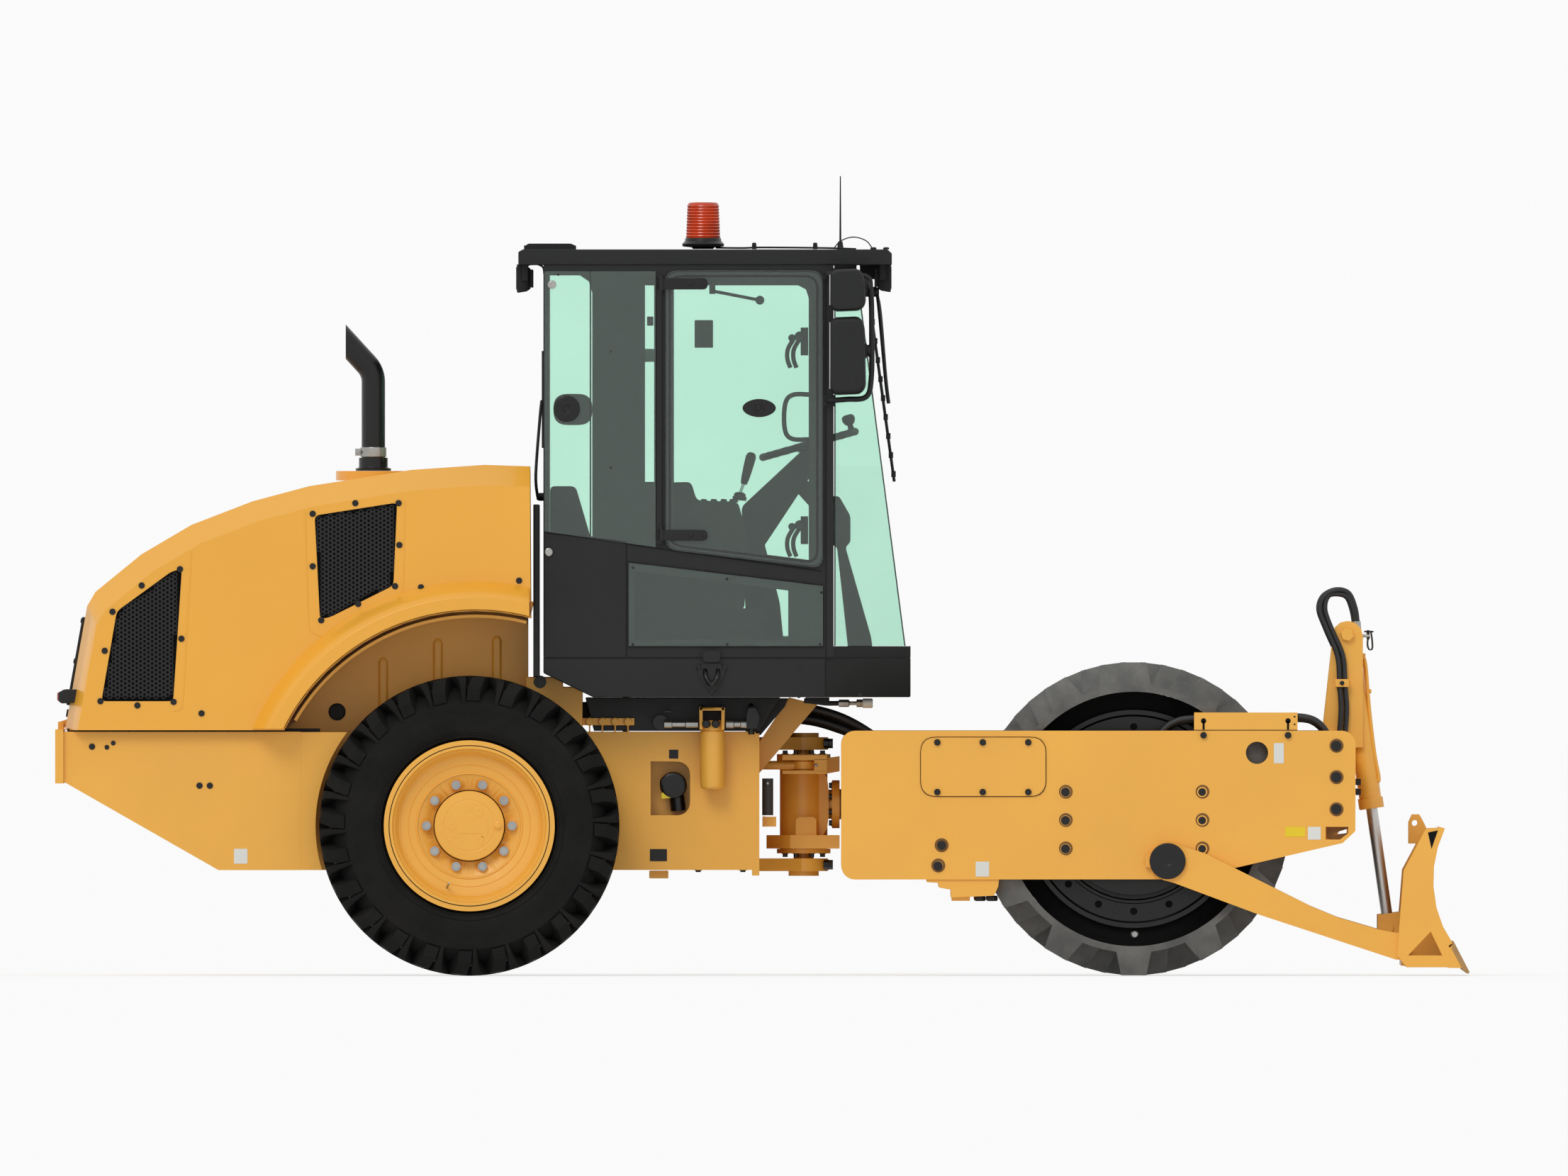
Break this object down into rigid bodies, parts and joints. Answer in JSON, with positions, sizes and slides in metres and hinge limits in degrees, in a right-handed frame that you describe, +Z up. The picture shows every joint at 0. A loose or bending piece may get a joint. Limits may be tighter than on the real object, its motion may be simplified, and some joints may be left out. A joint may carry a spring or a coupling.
{
  "type": "vibratory soil compactor",
  "caption": "Articulated soil compactor with a padfoot drum and levelling blade in front, a closed cab, and a tilting engine hood over two drive tyres.",
  "frame": {"origin": "on the ground, at mid-length of the machine, on its centre line", "axes": "+X forward to the blade, +Y to the machine's left, +Z up"},
  "size_m": [5.58, 1.868, 3.16],
  "materials": {
    "yellow_paint": "yellow paint",
    "hood_paint": "hood paint",
    "black_paint": "black paint",
    "tyre_rubber": "tyre rubber",
    "hose_rubber": "hose rubber",
    "worn_steel": "worn steel",
    "chrome": "chrome",
    "glass": "glass",
    "seat_fabric": "seat fabric",
    "black_plastic": "black plastic",
    "lamp_lens": "lamp lens",
    "beacon_lens": "beacon lens",
    "red_lens": "red lens",
    "stack_steel": "stack steel",
    "cast_grey": "cast grey",
    "filter_white": "filter white",
    "edge_steel": "edge steel"
  },
  "bodies": {
    "rear": {"rear_frame": "yellow_paint", "tail_frame": "yellow_paint", "rear_axle": "cast_grey", "engine": "cast_grey", "radiator": "black_paint", "side_box": "yellow_paint", "pedestal": "black_paint", "platform": "black_paint", "cab_frame": "black_paint", "roof": "black_plastic", "front_glass": "glass", "rear_glass": "glass", "side_glass": "glass", "seat": "seat_fabric", "console": "black_plastic", "steering_wheel": "black_plastic", "mirrors": "black_plastic", "work_lights": "lamp_lens", "beacon": "beacon_lens", "wipers": "black_plastic", "steps": "black_paint", "filter": "yellow_paint", "fender_liners": "yellow_paint"},
    "hood": {"hood": "hood_paint", "hood_grilles": "black_paint", "exhaust_stack": "black_paint", "tail_lamps": "red_lens"},
    "cab_door": {"door_frame": "black_paint", "door_glass": "glass"},
    "side_window": {"side_window": "glass", "window_fittings": "black_paint"},
    "wheel_left": {"tyre_left": "tyre_rubber", "rim_left": "yellow_paint"},
    "wheel_right": {"tyre_right": "tyre_rubber", "rim_right": "yellow_paint"},
    "hitch": {"hitch_yoke": "yellow_paint"},
    "steer_barrel_left": {"steer_barrel_left": "black_paint"},
    "steer_barrel_right": {"steer_barrel_right": "black_paint"},
    "steer_rod_left": {"steer_rod_left": "chrome"},
    "steer_rod_right": {"steer_rod_right": "chrome"},
    "front": {"drum_side_plates": "yellow_paint", "drum_rear_beam": "yellow_paint", "drum_front_beam": "yellow_paint", "blade_towers": "yellow_paint", "drum_mounts": "black_paint", "scrapers": "black_paint", "hoses": "hose_rubber"},
    "drum": {"drum_shell": "worn_steel", "drum_heads": "black_paint"},
    "blade": {"push_arms": "yellow_paint", "blade": "yellow_paint", "cutting_edge": "edge_steel"},
    "lift_barrels": {"lift_barrels": "yellow_paint"},
    "lift_rods": {"lift_rods": "chrome"}
  },
  "joints": [
    {"name": "hood_lift", "type": "hinge", "parent": "rear", "child": "hood", "pos_m": [-2.768, 0, 0.992], "axis": [0, -1, 0], "range_deg": [0, 45]},
    {"name": "door_swing", "type": "hinge", "parent": "rear", "child": "cab_door", "pos_m": [-0.545, 0.716, 1.9], "axis": [0, 0, 1], "range_deg": [0, 95]},
    {"name": "window_swing", "type": "hinge", "parent": "rear", "child": "side_window", "pos_m": [-0.398, -0.708, 2.2], "axis": [0, 0, -1], "range_deg": [0, 90]},
    {"name": "wheel_left_spin", "type": "hinge", "parent": "rear", "child": "wheel_left", "pos_m": [-1.156, 0.711, 0.592], "axis": [0, 1, 0], "continuous": true},
    {"name": "wheel_right_spin", "type": "hinge", "parent": "rear", "child": "wheel_right", "pos_m": [-1.156, -0.711, 0.592], "axis": [0, 1, 0], "continuous": true},
    {"name": "steering", "type": "hinge", "parent": "rear", "child": "hitch", "pos_m": [0.163, 0, 0.676], "axis": [0, 0, 1], "range_deg": [-34, 34]},
    {"name": "oscillation", "type": "hinge", "parent": "hitch", "child": "front", "pos_m": [0.3, 0, 0.676], "axis": [1, 0, 0], "range_deg": [-15, 15]},
    {"name": "drum_spin", "type": "hinge", "parent": "front", "child": "drum", "pos_m": [1.465, 0, 0.619], "axis": [0, 1, 0], "continuous": true},
    {"name": "blade_lift", "type": "hinge", "parent": "front", "child": "blade", "pos_m": [1.597, 0, 0.451], "axis": [0, -1, 0], "range_deg": [0, 20]},
    {"name": "lift_barrel_tilt", "type": "hinge", "parent": "front", "child": "lift_barrels", "pos_m": [2.309, 0, 1.345], "axis": [0, -1, 0], "range_deg": [-0.5, 6]},
    {"name": "lift_rod_slide", "type": "slide", "parent": "lift_barrels", "child": "lift_rods", "axis": [0.1412, 0, -0.99], "range_m": [-0.31, 0.005]},
    {"name": "steer_left_tilt", "type": "hinge", "parent": "rear", "child": "steer_barrel_left", "pos_m": [-0.565, 0.19, 0.83], "axis": [0, 0, 1], "range_deg": [-1, 1]},
    {"name": "steer_left_slide", "type": "slide", "parent": "steer_barrel_left", "child": "steer_rod_left", "axis": [1, 0, 0], "range_m": [-0.11, 0.11]},
    {"name": "steer_right_tilt", "type": "hinge", "parent": "rear", "child": "steer_barrel_right", "pos_m": [-0.565, -0.19, 0.83], "axis": [0, 0, 1], "range_deg": [-1, 1]},
    {"name": "steer_right_slide", "type": "slide", "parent": "steer_barrel_right", "child": "steer_rod_right", "axis": [1, 0, 0], "range_m": [-0.11, 0.11]}
  ],
  "couplings": [
    {"joint": "lift_barrel_tilt", "follows": "blade_lift", "ratio": 0.27},
    {"joint": "lift_rod_slide", "follows": "blade_lift", "m_per_rad": -0.871},
    {"joint": "steer_left_tilt", "follows": "steering", "ratio": -0.0112},
    {"joint": "steer_left_slide", "follows": "steering", "m_per_rad": -0.179},
    {"joint": "steer_right_tilt", "follows": "steering", "ratio": -0.0112},
    {"joint": "steer_right_slide", "follows": "steering", "m_per_rad": 0.179}
  ]
}
